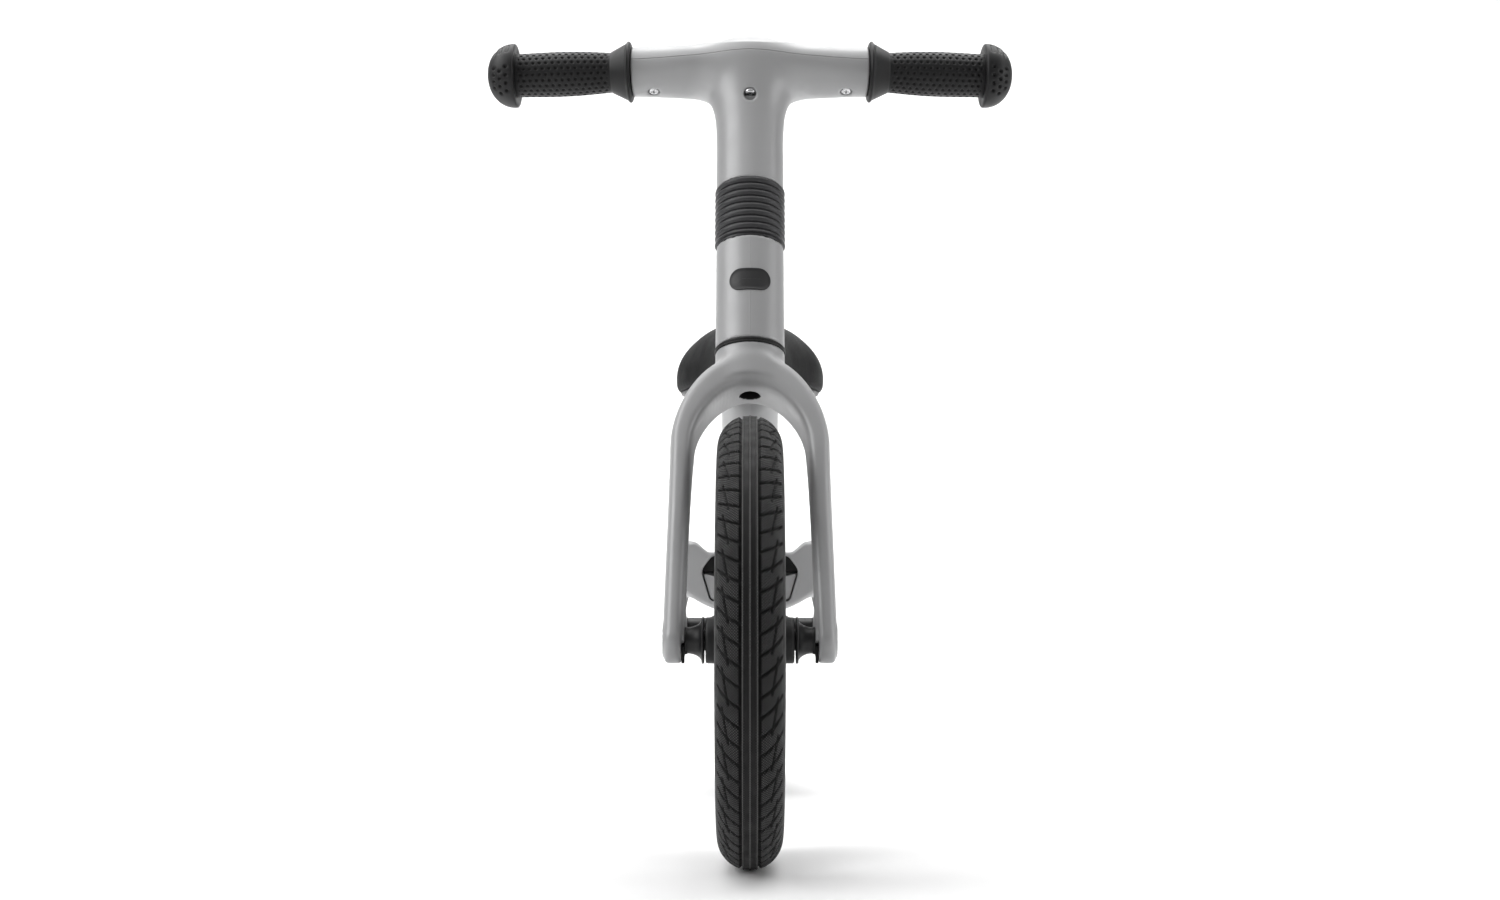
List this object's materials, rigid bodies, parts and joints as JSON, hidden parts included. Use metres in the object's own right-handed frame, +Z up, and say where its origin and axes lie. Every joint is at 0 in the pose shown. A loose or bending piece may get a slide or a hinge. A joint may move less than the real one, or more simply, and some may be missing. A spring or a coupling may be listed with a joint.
{
  "type": "balance bike",
  "caption": "Child's two-wheeled push bike with no pedals, a cast grey frame and fork, air tyres, T handlebar with rubber grips, height-adjustable saddle and footrests.",
  "frame": {"origin": "on the ground, midway between the two tyres' contact points, on the bike's plane of symmetry", "axes": "+Z up, -Y the way the bike travels, +X to the rider's left"},
  "size_m": [0.396, 0.858, 0.5968],
  "materials": {
    "grey_paint": "satin grey powder coat on a light-alloy casting",
    "tyre_rubber": "matt black with knurled tread blocks",
    "grip_rubber": "matt black, dimpled",
    "bellows_rubber": "dark grey, ribbed, slight sheen",
    "seal_rubber": "matt black",
    "tube_rubber": "smooth black butyl",
    "wheel_plastic": "black glass-filled nylon, fine spark texture",
    "black_plastic": "satin black moulded plastic",
    "pad_rubber": "black, ribbed",
    "badge": "plain dark badge with no marking",
    "saddle_cover": "black skinned foam with fine grain",
    "steel": "turned, zinc plated",
    "bearing_steel": "ground",
    "fasteners": "bright zinc",
    "black_bolts": "black oxide",
    "post_alloy": "black anodised"
  },
  "bodies": {
    "frame": {"main_frame": "grey_paint", "footrest_pads": "pad_rubber", "head_badge": "badge", "upper_steering_bearing": "bearing_steel", "lower_steering_bearing": "bearing_steel", "seat_clamp": "black_plastic", "seat_clamp_bolt": "fasteners", "rear_axle": "steel", "rear_axle_spacers": "black_plastic", "rear_tab_washers": "black_plastic", "rear_axle_bolts": "black_bolts"},
    "steering": {"fork": "grey_paint", "steerer_tube": "steel", "lower_seal_ring": "seal_rubber", "steerer_spacer": "steel", "bellows": "bellows_rubber", "handlebar_body": "grey_paint", "handlebar_cover": "grey_paint", "steerer_plug": "steel", "steerer_top_bolt": "steel", "handlebar_screws": "fasteners", "left_grip_tube": "steel", "right_grip_tube": "steel", "left_grip": "grip_rubber", "right_grip": "grip_rubber", "front_axle": "steel", "front_axle_spacers": "black_plastic", "front_tab_washers": "black_plastic", "front_axle_bolts": "black_bolts"},
    "front_wheel": {"front_tyre": "tyre_rubber", "front_inner_tube": "tube_rubber", "front_wheel": "wheel_plastic", "front_bearings": "bearing_steel", "front_valve_cap": "black_plastic"},
    "rear_wheel": {"rear_tyre": "tyre_rubber", "rear_inner_tube": "tube_rubber", "rear_wheel": "wheel_plastic", "rear_bearings": "bearing_steel", "rear_valve_cap": "black_plastic"},
    "saddle": {"seat_post": "post_alloy", "saddle_base": "black_plastic", "saddle_cover": "saddle_cover", "saddle_screws": "black_bolts"}
  },
  "joints": [
    {"name": "steering_turn", "type": "hinge", "parent": "frame", "child": "steering", "pos_m": [0, -0.254, 0.149], "axis": [0, 0.2924, 0.9563], "range_deg": [-40, 40]},
    {"name": "front_wheel_spin", "type": "hinge", "parent": "steering", "child": "front_wheel", "pos_m": [0, -0.28, 0.149], "axis": [1, 0, 0], "continuous": true},
    {"name": "rear_wheel_spin", "type": "hinge", "parent": "frame", "child": "rear_wheel", "pos_m": [0, 0.28, 0.149], "axis": [1, 0, 0], "continuous": true},
    {"name": "saddle_height", "type": "slide", "parent": "frame", "child": "saddle", "axis": [0, 0.2924, 0.9563], "range_m": [0, 0.06]}
  ]
}
